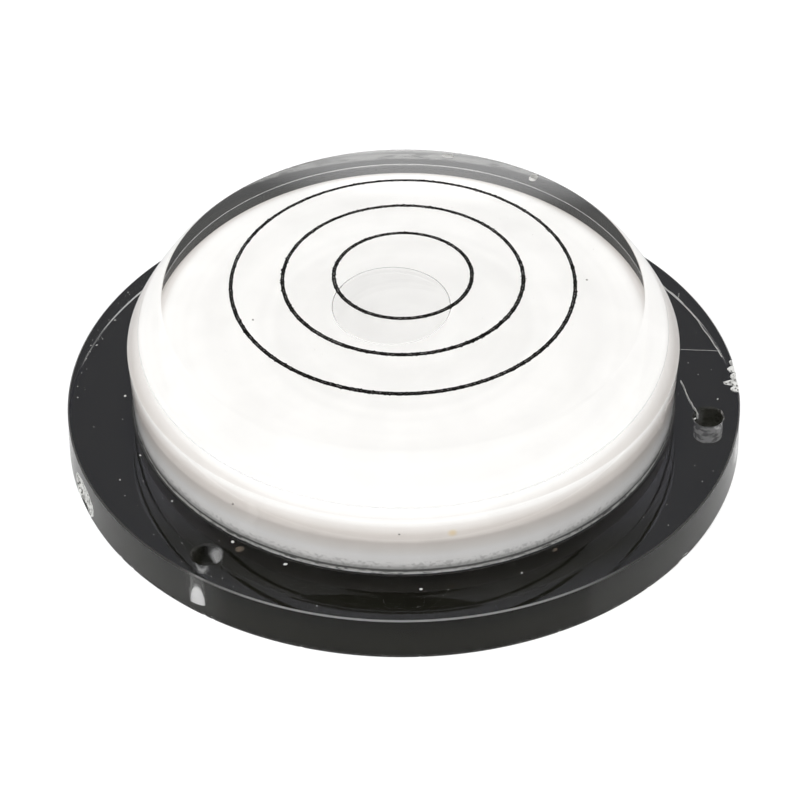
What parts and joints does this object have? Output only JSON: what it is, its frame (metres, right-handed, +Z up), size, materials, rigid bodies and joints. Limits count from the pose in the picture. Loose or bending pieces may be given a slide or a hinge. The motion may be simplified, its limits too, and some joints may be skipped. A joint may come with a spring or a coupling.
{
  "type": "bullseye level",
  "caption": "Large round spirit level in clear acrylic: a shallow dome with ring lines over a white disc and a bubble, on a flange with screw holes and a black backing.",
  "frame": {"origin": "centre of the flat underside, on the surface that the level stands on", "axes": "+Z up along the axis of the dome; +X to the right and -Y towards the viewer in the picture"},
  "size_m": [0.12, 0.12, 0.0363],
  "materials": {
    "clear_acrylic": "clear turned acrylic, polished, with fine scratches and chipped edges",
    "black_film": "black film bonded under the flange, glossy seen through the acrylic",
    "black_acrylic": "black acrylic, satin on its underside",
    "white_acrylic": "opaque white acrylic with faint turning marks",
    "white_plastic": "white moulded plastic",
    "level_spirit": "clear colourless liquid",
    "line_paint": "black paint wiped into the turned grooves, slightly ragged"
  },
  "bodies": {
    "root": {"body": "clear_acrylic", "backing_film": "black_film", "base_disc": "black_acrylic", "reflector_disc": "white_acrylic", "fill_plug": "white_plastic", "liquid": "level_spirit", "inner_line": "line_paint", "middle_line": "line_paint", "outer_line": "line_paint"}
  },
  "joints": []
}
